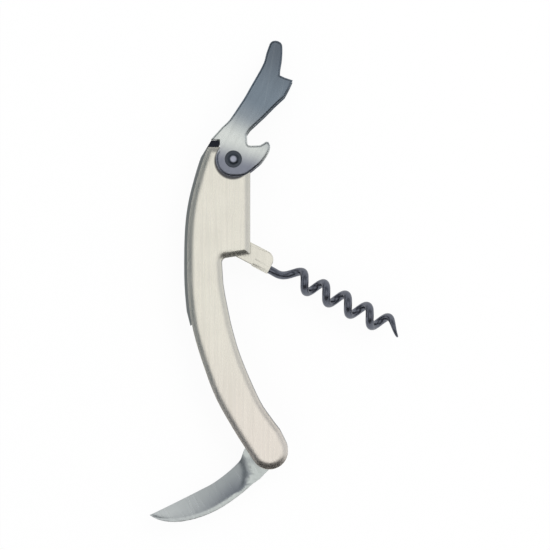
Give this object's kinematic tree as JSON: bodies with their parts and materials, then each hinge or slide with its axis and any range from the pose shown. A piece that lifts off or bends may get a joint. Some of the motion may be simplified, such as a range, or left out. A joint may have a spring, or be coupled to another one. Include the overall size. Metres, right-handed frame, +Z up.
{
  "type": "waiter's corkscrew",
  "caption": "Folding corkscrew: two-sided case with a spring back, a hinged lever with cap hook and forked foot, a coiled worm and a curved foil knife.",
  "frame": {"origin": "on the surface that the closed side lies on, under the centre of the opened tool's outline", "axes": "+Y along the handle from the knife's end to the lever's end, +X across it towards the worm, +Z up through its thickness, parallel to all three hinge pins"},
  "size_m": [0.087, 0.1684, 0.0154],
  "materials": {
    "satin_nickel": "satin nickel plate, finely brushed",
    "liner_steel": "bare stamped steel",
    "spring_steel": "tempered grey spring steel",
    "lever_steel": "pressed steel with a soft grey shine",
    "dark_steel": "darkened rivet steel",
    "wire_steel": "dark hardened wire, smooth",
    "blade_steel": "ground blade steel"
  },
  "bodies": {
    "handle": {"near_liner": "liner_steel", "far_liner": "liner_steel", "near_cover": "satin_nickel", "far_cover": "satin_nickel", "back_spring": "spring_steel", "worm_spring": "spring_steel", "front_bar": "liner_steel", "upper_spring_pin": "liner_steel", "lower_spring_pin": "liner_steel", "worm_spring_pin": "liner_steel", "front_bar_pin": "liner_steel", "knife_stop_pin": "liner_steel", "worm_pin": "liner_steel", "knife_pin": "liner_steel", "lever_rivet": "dark_steel", "lever_spacer": "liner_steel", "near_rivet_washer": "dark_steel", "far_rivet_washer": "dark_steel", "near_worm_washer": "liner_steel", "far_worm_washer": "liner_steel", "near_knife_washer": "liner_steel", "far_knife_washer": "liner_steel"},
    "lever": {"lever": "lever_steel"},
    "worm": {"worm_tang": "satin_nickel", "worm_helix": "wire_steel"},
    "knife": {"knife": "blade_steel"}
  },
  "joints": [
    {"name": "lever_fold", "type": "hinge", "parent": "handle", "child": "lever", "pos_m": [-0.01419, 0.04289, 0.0077], "axis": [0, 0, 1], "range_deg": [-150, 0]},
    {"name": "worm_fold", "type": "hinge", "parent": "handle", "child": "worm", "pos_m": [-0.01329, 0.01275, 0.0077], "axis": [0, 0, 1], "range_deg": [-47, 40]},
    {"name": "knife_fold", "type": "hinge", "parent": "handle", "child": "knife", "pos_m": [-0.0016, -0.05901, 0.0077], "axis": [0, 0, 1], "range_deg": [-91, 89]}
  ]
}
